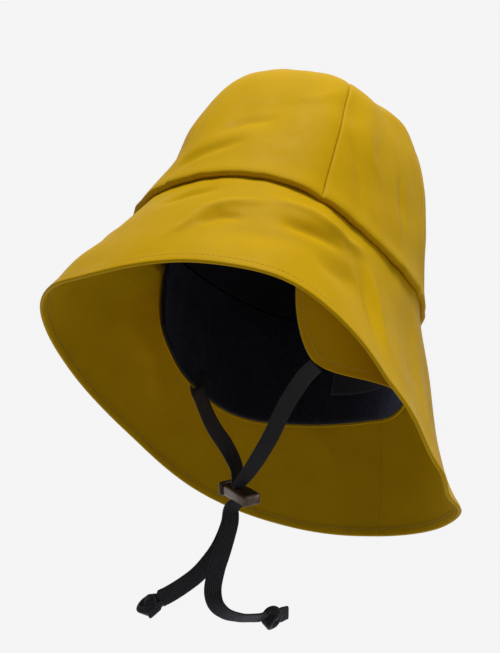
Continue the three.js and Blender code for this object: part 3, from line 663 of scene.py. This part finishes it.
def brimSurface(angles, places, side):
    # Slant from the crown's edge to the rim. The tilt from straight down is slope + curl (1/2 - place),
    # and the way out and down adds up its sine and cosine; folds move it along its normal. The cloth is
    # thicker at the hem, with a groove under the stitches, a rounded rim and a seam at the back.
    length = brimLength(angles)
    slope, curl = around(brimTable, "slope", angles), around(brimTable, "curl", angles)
    tilt = np.radians(slope + curl * (0.5 - places[:, None]))
    steps = np.diff(places)[:, None] * length
    between = (tilt[1:] + tilt[:-1]) / 2
    out = -brim["setIn"] + np.concatenate([0 * steps[:1], np.cumsum(steps * np.sin(between), axis=0)])
    down = np.concatenate([0 * steps[:1], np.cumsum(steps * np.cos(between), axis=0)])
    angle = np.broadcast_to(angles, out.shape)
    along = np.broadcast_to(places[:, None], out.shape)
    fromRim = (1 - along) * length
    hem = brim["hemRaise"] / (1 + np.exp((fromRim - brim["hemWidth"]) / brimLook["hemSoft"]))
    half = brimLook["cloth"] / 2 + hem
    half = half - brimLook["groove"] * bell(fromRim - brimLook["stitchIn"], brimLook["grooveWidth"])
    half = half * quarterRound(np.clip(fromRim / brimLook["edgeRound"], 0.01, 1))
    fromSeam = np.abs((angle - 180) * np.pi / 180 * (brimLook["meanRadius"] + out))
    half = (half - brimLook["seamDip"] * bell(fromSeam, brimLook["seamWidth"])
            + brimLook["lapRaise"] * bell(fromSeam - brimLook["lapMiddle"], brimLook["lapWidth"], 4))
    soft = (bumps(brimFolds, angle, along) + bumps(fineFolds, angle, along)
            + creases(brimCreases, angle, along, creaseShape["brimSlant"])
            + puckers(angle, along * length) + rumples(angle * 0.8, along * length))
    move = half * side + soft
    point = ringPoint(angle, out, -down) + outward(angle) * (move * np.cos(tilt))[..., None]
    point[..., 2] += move * np.sin(tilt)
    return point


def brimFace(side):
    # Columns lie closer together towards the back seam, at 180 degrees.
    turn = np.arange(brimLook["columns"]) / brimLook["columns"] * 2 * np.pi
    angles = np.degrees(turn + brimLook["crowding"] * (np.sin(turn) - np.sin(2 * turn) / 4))
    inward = np.linspace(rimRows[-1], 1, brimLook["rows"] + 1 - len(rimRows))[1:]
    places = 1 - np.concatenate([rimRows, inward])
    slant = brimSurface(angles, places[::-1], side)[::-1]
    collar = crownPoint(angles, shareAtHeight(brim["collar"]),
                        brimLook["collarSeat"] + brimLook["cloth"] / 2 * side)
    return np.concatenate([slant, ((collar + slant[-1]) / 2)[None], collar[None]])


brimPiece = shellPiece("brim", "brim", brimFace(1), brimFace(-1), clothMaterial, "cloth", closed=True)


def brimStitches(name, side, material, size):
    # A line of stitches all round, a fixed way in from the rim, on one face of the brim.
    angles = np.linspace(0, 360, 721)
    places = np.linspace(0, 1, 60)
    grid = brimSurface(angles, places, side)
    row = (1 - brimLook["stitchIn"] / brimLength(angles)) * (len(places) - 1)
    low = np.floor(row).astype(int)
    share = (row - low)[:, None]
    column = np.arange(len(angles))
    line = grid[low, column] * (1 - share) + grid[low + 1, column] * share
    down = unit(grid[low + 1, column] - grid[low, column])
    across = unit(np.gradient(line, axis=0))
    normals = unit(np.cross(across, -down)) * side
    normals = np.where((np.sum(normals * outward(angles), -1) * side)[:, None] < 0, -normals, normals)
    return stitchLine(name, "brim", line + normals * 0.03, normals, material, size)


brimOuterStitch = brimStitches("brimStitchOuter", 1, sameThread, faintStitch)
brimInnerStitch = brimStitches("brimStitchInner", -1, threadMaterial, stitch)

print("flap")
flapLook = {"columns": 210, "rows": 44, "stitchIn": 5, "fleeceMargin": 1.4, "fleecePuff": 0.9, "seat": -2.7,
            "hang": -4.0, "crowding": 0.6, "rumple": 0.5, "pucker": 0.6, "liningFace": -2.9}
# The fleece's inner face goes on up: heights, and how far it still stands off the lining.
fleeceClimb = ((12, 0.72), (16, 0.4), (20, 0.12))


def flapReach(angle):
    # Depth of the flap's edge: half as deep at its front edges, rounded into its full depth.
    fromFront = np.minimum(angle - flap["frontLeft"], flap["frontRight"] - angle)
    share = np.clip(fromFront / flap["corner"], 0, 1)
    return flap["depth"] * around(flapTable, "depth", angle) * (0.5 + 0.5 * quarterRound(share))


def flapPoint(angle, depth, offset):
    # Straight down from the crown's edge, pulled in towards the head by a power of the depth.
    pull = flap["pull"] * around(flapTable, "pull", angle) * (np.maximum(depth, 0) / flap["depth"]) ** 1.4
    return ringPoint(angle, flapLook["hang"] + offset - pull, -depth)


def flapColumns(margin):
    # Closer together at the front edges; the margin is in degrees.
    spread = np.linspace(0, 1, flapLook["columns"])
    eased = spread - 0.97 * np.sin(spread * 2 * np.pi) / (2 * np.pi)
    low, high = flap["frontLeft"] + margin, flap["frontRight"] - margin
    return low + (high - low) * (flapLook["crowding"] * eased + (1 - flapLook["crowding"]) * spread)


def flapFace(offset, half, side, margin, roundness, top=False):
    # One face of a hanging layer; its thickness is rounded off towards its free edges.
    angles = flapColumns(margin / crown["degree"])
    reach = flapReach(angles) - margin
    shares = 1 - (1 - np.linspace(0, 1, flapLook["rows"])) ** 1.6
    depth = reach * shares[::-1, None]
    angle = np.broadcast_to(angles, depth.shape)
    fromSides = crown["degree"] * np.minimum(angle - angles[0], angles[-1] - angle)
    thick = half * quarterRound(np.clip(np.minimum(reach - depth, fromSides) / roundness, 0.02, 1))
    wave = flapLook["rumple"] * rumples(angle, depth * 1.5) + flapLook["pucker"] * puckers(angle, depth)
    hanging = flapPoint(angle, depth, offset + thick * side + wave)
    collar = crownPoint(angles, shareAtHeight(brim["collar"]), flapLook["seat"] + offset + half * side)
    rows = [hanging, ((collar + hanging[-1]) / 2)[None], collar[None]]
    if top and side < 0:
        lining = flapLook["liningFace"]
        rows += [crownPoint(angles, shareAtHeight(height),
                            lining + share * (flapLook["seat"] + offset - half - lining))[None]
                 for height, share in fleeceClimb]
    elif top:
        rows += [collar[None] + np.array([0, 0, rise]) for rise in (0.1, 0.2, 0.3)]
    return np.concatenate(rows)


shellOffset = -flap["shell"] / 2
flapShell = shellPiece("flapShell", "flap_shell", flapFace(shellOffset, 0.5, 1, 0, 0.6),
                       flapFace(shellOffset, 0.5, -1, 0, 0.6), clothMaterial, "cloth")
fleeceOffset = -flap["shell"] - flap["gap"] - flap["fleece"] / 2
flapFleece = shellPiece("flapFleece", "flap_fleece",
                        flapFace(fleeceOffset, 1.0, 1, flapLook["fleeceMargin"], 2.4, True),
                        flapFace(fleeceOffset, 1.0 + flapLook["fleecePuff"], -1, flapLook["fleeceMargin"],
                                 2.6, True), fleeceMaterial, "fleece")


def flapStitches(name):
    # Stitches along the flap's free border on its outer face, a fixed way in from the edge. The border
    # is a line of (millimetres round, depth), smoothed by a running mean before it is moved in.
    degree, topDepth, smoothing = crown["degree"], 4, 15
    angles = np.linspace(flap["frontLeft"], flap["frontRight"], 900)
    border = np.stack([angles * degree, flapReach(angles)], -1)
    top = np.linspace(topDepth, border[0, 1], 40)
    bottom = np.linspace(border[-1, 1], topDepth, 40)
    border = np.concatenate([np.stack([np.full(40, border[0, 0]), top], -1), border[1:-1],
                             np.stack([np.full(40, border[-1, 0]), bottom], -1)])
    kernel = np.ones(smoothing) / smoothing
    way = unit(np.stack([np.convolve(np.pad(column, smoothing // 2, mode="edge"), kernel, "valid")
                         for column in np.gradient(border, axis=0).T], -1))
    inset = border + np.stack([way[:, 1], -way[:, 0]], -1) * flapLook["stitchIn"]
    keep = (inset[:, 0] > border[0, 0] + 4.9) & (inset[:, 0] < border[-1, 0] - 4.9) & (inset[:, 1] > 3)
    angle, depth = inset[keep, 0] / degree, inset[keep, 1]
    return stitchLine(name, "flap_shell", flapPoint(angle, depth, shellOffset + 0.52), outward(angle))


flapStitch = flapStitches("flapStitch")

print("label")
label = {"width": 60, "height": 30, "drop": 10, "thickness": 0.6, "offset": -4.2, "stitchDrop": 1.5,
         "stitchIn": 0.9}
labelHalf = label["width"] / 2 / crown["halfWidth"] * 180 / math.pi
labelAngles = np.linspace(180 - labelHalf, 180 + labelHalf, 50)
labelAngle, labelDepth = np.meshgrid(labelAngles, label["drop"] + label["height"] * np.linspace(1, 0, 26))
labelOffset = label["offset"] - flapLook["fleecePuff"]
labelWave = 0.25 * rumples(labelAngle, labelDepth)
labelUv = np.stack([(labelAngle - labelAngles[0]) / (2 * labelHalf), labelDepth * mm], -1)
labelFaces = [flapPoint(labelAngle, labelDepth, labelOffset + label["thickness"] / 2 * side + labelWave)
              for side in (1, -1)]
labelPiece = shellPiece("label", "label", *labelFaces, labelMaterial, "label", uv=labelUv)
# The stitched border as shares of the width and the height, once round.
labelBorder = np.concatenate([np.stack([np.linspace(*ends[0], count), np.linspace(*ends[1], count)], -1)
                              for ends, count in ((((-1, 1), (0, 0)), 40), (((1, 1), (0, 1)), 20),
                                                  (((1, -1), (1, 1)), 40), (((-1, -1), (1, 0)), 20))])
borderAngle = 180 + labelBorder[:, 0] * (labelHalf - label["stitchIn"])
borderDepth = (label["drop"] + label["stitchDrop"]
               + labelBorder[:, 1] * (label["height"] - 2 * label["stitchDrop"]))
labelStitch = stitchLine("labelStitch", "label", flapPoint(borderAngle, borderDepth, labelOffset - 0.36),
                         -outward(borderAngle), blackThread)

print("ties and knots")
tie = {"width": 10, "thickness": 1.2, "spread": 0.8, "ringPitch": 0.8, "corners": 16, "crimp": 0.05,
       "cup": 0.8, "sewnAngle": 264.5, "sewnDepths": (54.0, 63.0)}
lockMiddle = np.array([4.4, 3.1, -151])
lockAxis = unit([0.922, -0.12, -0.368])
lockDown = np.array([-0.236, 0.576, -0.782])
lockDown = unit(lockDown - lockAxis * (lockDown @ lockAxis))
lockSide = np.cross(lockAxis, lockDown)
lockFrame = np.stack([lockAxis, lockSide, -lockDown])
tieFacing = unit([0.67, -0.56, -0.49])
tieStack = (tie["thickness"] + tie["spread"]) / 2
flatWide = unit(np.cross(lockDown, tieFacing))
lockTurn = math.degrees(math.atan(np.cross(flatWide, lockSide) @ lockDown / (flatWide @ lockSide)))


def spot(x, y, z, turn=0, width=1):
    # A row of a route, by its place.
    return {"point": np.array([x, y, z], dtype=float), "turn": turn, "width": width}


def inSlot(down, along):
    # A row of a route in the lock's slot, by how far down and along the lock it lies.
    return {"point": lockMiddle + lockDown * down + lockAxis * along, "turn": lockTurn, "width": 0.74}


# The right tie's sewn end starts inside the fleece, so that no cut end shows.
sewnEnd = [spot(*flapPoint(np.array(tie["sewnAngle"]), np.array(depth), fleeceOffset))
           for depth in tie["sewnDepths"]]
# Routes from the photograph, as in the CAD model: place, twist in degrees, share of the width.
tieRoutes = {
    "tieLeft": [
        spot(58.2, -7.9, -80.3), spot(51.2, -7.6, -85.4), spot(39.6, -5.9, -99.3), spot(33.4, -4.2, -108.8),
        spot(26.9, -2.2, -120.1, -2), spot(20, -1.4, -131.7, -6, 0.96), spot(14.3, -1, -140, -14, 0.88),
        spot(10.6, -0.6, -144.4, -22, 0.8), inSlot(-4.4, tieStack), inSlot(4.4, tieStack),
        spot(0.6, 4.6, -160.2, -18, 0.95), spot(1.5, 5.1, -168.9, -6), spot(1, 5, -185),
        spot(-0.6, 5.2, -196.6), spot(-1.3, 6.9, -208.2), spot(0.3, 10.2, -214.7, 15),
        spot(2.6, 16.2, -217.8, 30), spot(4.6, 26.1, -217.4, 38), spot(5.3, 37.1, -214.4, 38),
        spot(5.6, 42.2, -212.6, 35)],
    "tieRight": sewnEnd + [
        spot(-70.8, 8.7, -69.8), spot(-57.8, 5.6, -82.2), spot(-41, 1.5, -97.7), spot(-29, 0.4, -108.6, 1),
        spot(-16, 0.4, -119.5, -4, 0.98), spot(-4.6, 0, -130.1, -12, 0.9),
        spot(2.4, -0.6, -138.2, -22, 0.8), inSlot(-4.4, -tieStack), inSlot(4.4, -tieStack),
        spot(-2, 6.2, -159.5, -18, 0.95), spot(-3.1, 8.3, -167.6, -6), spot(-7.2, 9, -181.2),
        spot(-10.6, 6.6, -191.4), spot(-14.8, 3.7, -200), spot(-19.4, -0.2, -207),
        spot(-24.4, -4.7, -213.6), spot(-27.2, -8.1, -217.3)],
}


def smoothRoute(points, pitch):
    # Centripetal cubic through the points, in even steps; returns its points, row places and lengths.
    count = len(points)
    points = np.concatenate([[2 * points[0] - points[1]], points, [2 * points[-1] - points[-2]]])
    roots = np.linalg.norm(np.diff(points, axis=0), axis=1) ** 0.5
    shares = np.linspace(0, 1, 60, endpoint=False)[:, None]
    made, places = [], []
    for i in range(1, count):
        gap0, gap1, gap2 = roots[i - 1:i + 2]
        p0, p1, p2, p3 = points[i - 1:i + 3]
        slope1 = ((p1 - p0) / gap0 - (p2 - p0) / (gap0 + gap1) + (p2 - p1) / gap1) * gap1
        slope2 = ((p2 - p1) / gap1 - (p3 - p1) / (gap1 + gap2) + (p3 - p2) / gap2) * gap1
        made.append((2 * p1 - 2 * p2 + slope1 + slope2) * shares ** 3
                    + (-3 * p1 + 3 * p2 - 2 * slope1 - slope2) * shares ** 2 + slope1 * shares + p1)
        places.append(i - 1 + shares[:, 0])
    made = np.concatenate(made + [points[-2:-1]])
    places = np.concatenate(places + [[count - 1]])
    run = np.concatenate([[0], np.cumsum(np.linalg.norm(np.diff(made, axis=0), axis=1))])
    even = np.linspace(0, run[-1], int(run[-1] / pitch) + 1)
    centre = np.stack([np.interp(even, run, made[:, k]) for k in range(3)], -1)
    return centre, np.interp(even, run, places), even


def superEllipse(count, powerAcross, powerThrough):
    # Corners of a section, -0.5 to 0.5 each way: cosine and sine of the turn, squared off by powers.
    spin = (np.arange(count) + 0.5) / count * 2 * np.pi
    return [np.sign(wave) * np.abs(wave) ** power
            for wave, power in ((np.cos(spin), powerAcross), (np.sin(spin), powerThrough))]


def strip(name, replaced, centre, wide, thin, widths, thickness, run, cup):
    # A flat strip: its section is carried along the centre line, cupped across where it is gathered.
    across, through = (side * 0.5 for side in superEllipse(tie["corners"], 0.35, 0.55))
    thickness = np.broadcast_to(thickness, len(centre))[:, None]
    points = (centre[:, None] + wide[:, None] * (across[None] * widths[:, None])[..., None]
              + thin[:, None] * (through[None] * thickness
                                 + cup[:, None] * (across[None] ** 2 * 4 - 0.5))[..., None])
    rows, corners = points.shape[:2]
    ring = np.arange(corners)
    half = corners // 2
    cap = np.stack([ring[:half - 1], ring[1:half], ring[::-1][1:half], ring[::-1][:half - 1]], -1)
    faces = np.concatenate([gridFaces(rows, corners, True), cap[:, ::-1], cap + (rows - 1) * corners])
    uv = np.stack([np.broadcast_to(across[None] + 0.5, (rows, corners)),
                   np.broadcast_to(run[:, None] * mm, (rows, corners))], -1)
    made = addPiece(name, points, faces, elasticMaterial, uv=uv)
    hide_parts(replaced)
    return made


def makeTie(name, replaced):
    # The strip's flat side faces the wearer's chin, turned about its way by each row's twist.
    route = tieRoutes[name]
    centre, place, run = smoothRoute([row["point"] for row in route], tie["ringPitch"])
    along = unit(np.gradient(centre, axis=0))
    turn, share = (np.interp(place, np.arange(len(route)), [row[k] for row in route])
                   for k in ("turn", "width"))
    turn = np.radians(turn)[:, None]
    flat = unit(np.cross(along, tieFacing))
    wide = flat * np.cos(turn) + np.cross(along, flat) * np.sin(turn)
    soft = 1 + tie["crimp"] * 0.4 * np.sin(run / 11) * np.minimum(1, run / 20)
    made = strip(name, replaced, centre, -wide, unit(np.cross(wide, along)), share * tie["width"] * soft,
                 tie["thickness"], run, (1 - share) * tie["cup"])
    return {"piece": made, "path": centre, "length": run[-1], "endWide": -wide[-1]}


knotPlaces = {
    "knotLeft": {"end": [5.6, 42.2, -212.6], "along": [0, 0.96, 0.25], "stub": [-0.2, 0.9, 0.4],
                 "reach": 11.5, "spin": 40},
    "knotRight": {"end": [-27.2, -8.1, -217.3], "along": [-0.45, -0.5, -0.74], "stub": [0.9, -0.2, -0.4],
                  "reach": 3.0, "spin": -20},
}
knot = {"length": 14, "height": 13, "depth": 11, "strapWidth": 6.4, "strapThickness": 3.8,
        "stubWidth": 8.2, "stubThickness": 2.4, "ringPitch": 0.4, "uneven": 0.35, "cup": 0.5}
# An overhand knot: over the far side, round behind, up through the middle and out.
knotTurns = [(0.35, -0.5, 0.75), (0.75, 0.35, 0.85), (0.25, 1.0, 0.25), (-0.55, 0.75, -0.5),
             (-0.8, -0.2, -0.85), (0.1, -0.85, -0.8), (0.9, -0.45, -0.25), (0.8, 0.4, 0.15),
             (0.1, 0.35, 0.35), (-0.6, -0.35, 0.6)]


def carried(along, first):
    # Carries a side vector along a line with the least twist: each step takes off its part along the line.
    sides = [unit(first - along[0] * (first @ along[0]))]
    for way in along[1:]:
        sides.append(unit(sides[-1] - way * (sides[-1] @ way)))
    return np.array(sides)


def makeKnot(name, replaced, facing):
    # The gathered strap follows a trefoil squeezed into the knot's box, then its flat end.
    entry = knotPlaces[name]
    way, stub, end = unit(entry["along"]), unit(entry["stub"]), np.array(entry["end"])
    middle = end + way * (knot["length"] / 2 + 0.3)
    side = unit(np.cross(way, [0.3, 0.2, 1]))
    lift = np.cross(side, way)
    spin = math.radians(entry["spin"])
    side, lift = (side * math.cos(spin) + lift * math.sin(spin),
                  lift * math.cos(spin) - side * math.sin(spin))
    inner = np.array([knot["depth"], knot["length"], knot["height"]]) / 2 - knot["strapWidth"] * 0.4
    body = (np.array(knotTurns) * inner) @ np.stack([side, way, lift])
    points = [end - way * 1.5, end + way, *(middle + body), middle + stub * knot["length"] * 0.36,
              middle + stub * (knot["length"] / 2 + entry["reach"])]
    centre, _, run = smoothRoute(points, knot["ringPitch"])
    along = unit(np.gradient(centre, axis=0))
    wide = carried(along, facing)
    entering = bell(run, 3)
    leaving = 1 / (1 + np.exp((run[-1] - run - entry["reach"] - 1) / 1.2))
    widths = (knot["strapWidth"] + (tie["width"] - knot["strapWidth"]) * 0.8 * entering
              + (knot["stubWidth"] - knot["strapWidth"]) * leaving + knot["uneven"] * np.sin(run / 2.1))
    thick = (knot["strapThickness"] + (tie["thickness"] - knot["strapThickness"]) * entering
             + (knot["stubThickness"] - knot["strapThickness"]) * leaving)
    return strip(name, replaced, centre, wide, unit(np.cross(wide, along)), widths, thick, run,
                 knot["cup"] * (1 - entering - leaving))


tieLeft, tieRight = makeTie("tieLeft", "tie_left"), makeTie("tieRight", "tie_right")
knotLeft = makeKnot("knotLeft", "knot_left", tieLeft["endWide"])
knotRight = makeKnot("knotRight", "knot_right", tieRight["endWide"])

print("cord lock")
lock = {"length": 26, "width": 11.6, "height": 6.8, "fromEnd": 8.5, "slotLength": 4.8, "slotWidth": 8.2,
        "round": 1.1, "stemWidth": 9.8, "stemHeight": 3.6, "stemReach": 19, "travel": 3, "stop": 0.4,
        "head": 1.8, "headOver": 0.9, "headRound": 0.7, "slide": 0.25, "corners": 64, "bodyPower": 0.34,
        "stemPower": 0.35, "slotPower": 0.3, "bevel": 0.00025}


def roundedEnds(start, end, radius, steps=5):
    # Stations of a bar whose two ends are rounded by quarter circles: (place, shrink).
    turn = np.linspace(0, np.pi / 2, steps)
    first = [(start + radius * (1 - math.sin(a)), radius * (1 - math.cos(a))) for a in turn[::-1]]
    last = [(end - radius * (1 - math.sin(a)), radius * (1 - math.cos(a))) for a in turn]
    return [(start + 0.001, radius)] + first + last + [(end - 0.001, radius)]


def lockMesh(name, stations, width, height, power):
    # A closed bar in the lock's own frame, which is X along it, Y to its side and Z against the ties'
    # way: a section at each station (place along X, how far it shrinks in millimetres).
    count, rings = lock["corners"], []
    y, z = superEllipse(count, power, power)
    for place, shrink in sorted(set(stations)):
        rings.append(np.stack([np.full(count, place), y * (width - 2 * shrink) / 2,
                               z * (height - 2 * shrink) / 2], -1))
    rings = np.array(rings)
    rows = len(rings)
    ring = np.arange(count)
    following = (ring + 1) % count
    end = (rows - 1) * count
    first = np.stack([np.full(count, rows * count), following, ring], -1)
    last = np.stack([np.full(count, rows * count + 1), ring + end, following + end], -1)
    points = np.concatenate([rings.reshape(-1, 3), [rings[0].mean(0), rings[-1].mean(0)]])
    mesh = bpy.data.meshes.new(name)
    mesh.from_pydata(((points @ lockFrame + lockMiddle) * mm).tolist(), [],
                     gridFaces(rows, count, True).tolist() + first.tolist() + last.tolist())
    mesh.update()
    return addObject(name, mesh)


def cutWith(target, cutter):
    # Cuts one closed mesh out of another and deletes the cutter.
    modifier = target.modifiers.new("cut", "BOOLEAN")
    modifier.operation, modifier.solver, modifier.object = "DIFFERENCE", "EXACT", cutter
    shaped = bpy.data.meshes.new_from_object(target.evaluated_get(bpy.context.evaluated_depsgraph_get()))
    target.modifiers.clear()
    old = target.data
    target.data = shaped
    bpy.data.meshes.remove(old)
    bpy.data.objects.remove(cutter)


def slotCutter(shift, length):
    # The slot's own bar, stood on end so that it goes right through along the ties.
    cutter = lockMesh("slotCutter", [(-lock["height"], 0), (lock["height"], 0)], lock["slotWidth"], length,
                      lock["slotPower"])
    turn = Matrix(lockFrame.T.tolist()).to_4x4()
    place = Matrix.Translation(Vector((lockMiddle * mm).tolist())) @ turn
    swing = Matrix.Rotation(math.radians(90), 4, "Y")
    cutter.data.transform(Matrix.Translation(Vector((lockAxis * shift * mm).tolist()))
                          @ place @ swing @ place.inverted())
    return cutter


def finishLockPiece(made, body, replaced):
    # Soft edges, the plastic, and the body it rides on.
    modifier = made.modifiers.new("softEdges", "BEVEL")
    modifier.width, modifier.segments, modifier.limit_method = lock["bevel"], 2, "ANGLE"
    modifier.angle_limit = math.radians(40)
    made.data.materials.clear()
    made.data.materials.append(lockMaterial)
    made.data.polygons.foreach_set("use_smooth", np.full(len(made.data.polygons), True))
    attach(made, body)
    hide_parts(replaced)


lockStart = -lock["fromEnd"]
lockBody = lockMesh("lockBody", roundedEnds(lockStart, lockStart + lock["length"], lock["round"]),
                    lock["width"], lock["height"], lock["bodyPower"])
bore = lockMesh("bore", [(lockStart - 2, 0), (lockStart + lock["stemReach"] + lock["travel"], 0)],
                lock["stemWidth"] + 2 * lock["slide"], lock["stemHeight"] + 2 * lock["slide"],
                lock["stemPower"])
cutWith(lockBody, bore)
cutWith(lockBody, slotCutter(0, lock["slotLength"]))
finishLockPiece(lockBody, hatBody, "lock_body")

headEnd = lockStart - lock["travel"] - lock["stop"]
lockHead = lockMesh("lockHead", roundedEnds(headEnd - lock["head"], headEnd, lock["headRound"]),
                    lock["width"] + 2 * lock["headOver"], lock["height"] + 2 * lock["headOver"],
                    lock["bodyPower"])
finishLockPiece(lockHead, buttonBody, "lock_button")
stemEnd = lockStart + lock["stemReach"] - lock["stop"]
lockStem = lockMesh("lockStem", [(headEnd - lock["head"] / 2, 0), (stemEnd, 0)], lock["stemWidth"],
                    lock["stemHeight"], lock["stemPower"])
cutWith(lockStem, slotCutter(-lock["travel"] / 2, lock["slotLength"] + lock["travel"]))
finishLockPiece(lockStem, buttonBody, "lock_button")

print("stage and light")
stage = {"backdropBehind": 2.4, "backdropHalf": 4.0, "floorHeight": -1.5, "floorHalf": 2.2,
         "floorColour": (0.8, 0.8, 0.805), "backdropColour": (0.02, 0.02, 0.02), "world": 0.07,
         "keyPower": 40, "keySize": 0.75, "fillPower": 6.5, "fillSize": 0.9}


def plane(name, middle, normal, half, material):
    # A square facing its normal.
    normal = unit(normal)
    side = unit(np.cross([0.1, 1, 0.05], normal))
    up = np.cross(normal, side)
    corners = [middle + side * a * half + up * b * half for a, b in ((-1, -1), (1, -1), (1, 1), (-1, 1))]
    mesh = bpy.data.meshes.new(name)
    mesh.from_pydata([tuple(c) for c in corners], [], [(0, 1, 2, 3)])
    mesh.materials.append(material)
    return addObject(name, mesh)


backdrop = plane("backdrop", -towardsCamera * stage["backdropBehind"], towardsCamera,
                 stage["backdropHalf"], makeShaded("glowingPaper", glowingPaper, stage["backdropColour"]))
floor = plane("floor", np.array([0, 0, stage["floorHeight"]]), [0, 0, 1], stage["floorHalf"],
              makeShaded("paper", paper, stage["floorColour"]))


def areaLight(name, place, power, size):
    # A square white lamp that faces the hat.
    data = bpy.data.lights.new(name, "AREA")
    data.energy, data.size = power, size
    place = Vector(place)
    turn = place.to_track_quat("Z", "Y").to_matrix().to_4x4()
    addObject(name, data).matrix_world = Matrix.Translation(place) @ turn


# The photograph's light comes from above, in front and from the picture's left, with a little from
# the right.
areaLight("key", (0.62, -0.95, 1.5), stage["keyPower"], stage["keySize"])
areaLight("fill", (1.5, 0.75, 0.1), stage["fillPower"], stage["fillSize"])
world = bpy.data.worlds.new("paleRoom")
world.use_nodes = True
world.node_tree.nodes["Background"].inputs["Color"].default_value = (1, 1, 1, 1)
world.node_tree.nodes["Background"].inputs["Strength"].default_value = stage["world"]
bpy.context.scene.world = world
bpy.context.scene.view_settings.view_transform = "Standard"
